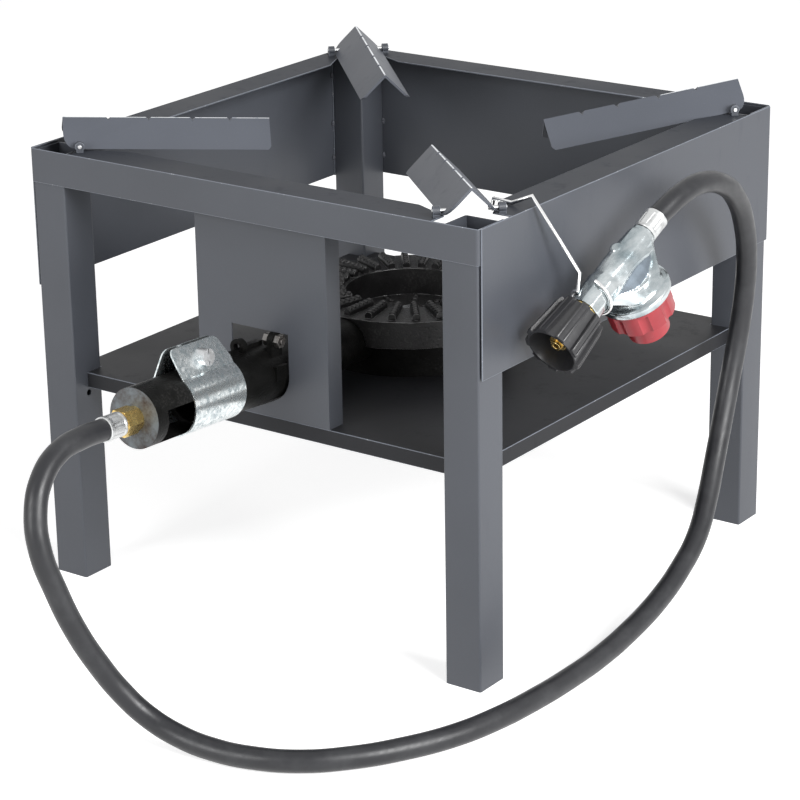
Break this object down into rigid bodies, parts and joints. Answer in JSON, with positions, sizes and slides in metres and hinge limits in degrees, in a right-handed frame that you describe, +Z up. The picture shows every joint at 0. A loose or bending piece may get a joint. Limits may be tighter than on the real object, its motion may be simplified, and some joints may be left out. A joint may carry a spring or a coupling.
{
  "type": "outdoor gas burner",
  "caption": "Square steel outdoor gas burner stand with a cast ring burner, hinged pot supports, side shutter, hose and regulator with a red knob.",
  "frame": {"origin": "on the ground, at the centre of the box round the stand and its burner without the hose set", "axes": "+X to the right along the front face, +Y from the mixing tube's end towards the back, +Z up"},
  "size_m": [0.4704, 0.6549, 0.3654],
  "materials": {
    "painted_steel": "semi-gloss",
    "cast_iron": "rough",
    "zinc_plate": "mottled zinc",
    "bare_steel": "satin",
    "brass": "satin",
    "die_cast": "polished",
    "red_plastic": "gloss",
    "black_plastic": "satin",
    "rubber": "satin",
    "bright_wire": "bright"
  },
  "bodies": {
    "stand": {"leg_front_left": "painted_steel", "leg_front_right": "painted_steel", "leg_back_left": "painted_steel", "leg_back_right": "painted_steel", "front_rail": "painted_steel", "back_skirt": "painted_steel", "left_skirt": "painted_steel", "right_skirt": "painted_steel", "tack_welds": "painted_steel", "shelf": "painted_steel", "front_shield": "painted_steel", "hinge_lugs": "painted_steel", "burner_body": "cast_iron", "burner_head": "cast_iron", "burner_bolt": "bare_steel", "burner_nut": "bare_steel", "lug_bolt": "bare_steel", "lug_nut": "bare_steel", "hinge_pins": "bare_steel", "burner_ferrule": "bare_steel", "regulator_ferrule": "bare_steel", "orifice_fitting": "brass", "hose": "rubber", "regulator_body": "die_cast", "inlet_nipple": "brass", "hanging_wire": "bright_wire"},
    "left_support": {"support_left": "painted_steel"},
    "front_support": {"support_front": "painted_steel"},
    "back_support": {"support_back": "painted_steel"},
    "right_support": {"support_right": "painted_steel"},
    "shutter": {"air_shutter": "zinc_plate", "shutter_screw": "bare_steel", "shutter_nut": "bare_steel"},
    "regulator_knob": {"knob": "red_plastic"},
    "cylinder_nut": {"coupling_nut": "black_plastic"}
  },
  "joints": [
    {"name": "left_support_fold", "type": "hinge", "parent": "stand", "child": "left_support", "pos_m": [-0.17684, -0.1058, 0.3465], "axis": [0.7071, -0.7071, 0], "range_deg": [0, 45]},
    {"name": "front_support_fold", "type": "hinge", "parent": "stand", "child": "front_support", "pos_m": [0.17684, -0.1058, 0.3465], "axis": [0.7071, 0.7071, 0], "range_deg": [0, 45]},
    {"name": "back_support_fold", "type": "hinge", "parent": "stand", "child": "back_support", "pos_m": [-0.17684, 0.24787, 0.3465], "axis": [-0.7071, -0.7071, 0], "range_deg": [0, 45]},
    {"name": "right_support_fold", "type": "hinge", "parent": "stand", "child": "right_support", "pos_m": [0.17684, 0.24787, 0.3465], "axis": [-0.7071, 0.7071, 0], "range_deg": [0, 45]},
    {"name": "shutter_slide", "type": "slide", "parent": "stand", "child": "shutter", "axis": [0, -0.9986, 0.0523], "range_m": [-0.008, 0.034]},
    {"name": "knob_turn", "type": "hinge", "parent": "stand", "child": "regulator_knob", "pos_m": [0.23992, 0.00785, 0.26664], "axis": [0.0536, 0.5017, -0.8634], "range_deg": [0, 1440]},
    {"name": "nut_spin", "type": "hinge", "parent": "stand", "child": "cylinder_nut", "pos_m": [0.23184, -0.06779, 0.25809], "axis": [0.0917, 0.8585, 0.5045], "continuous": true}
  ]
}
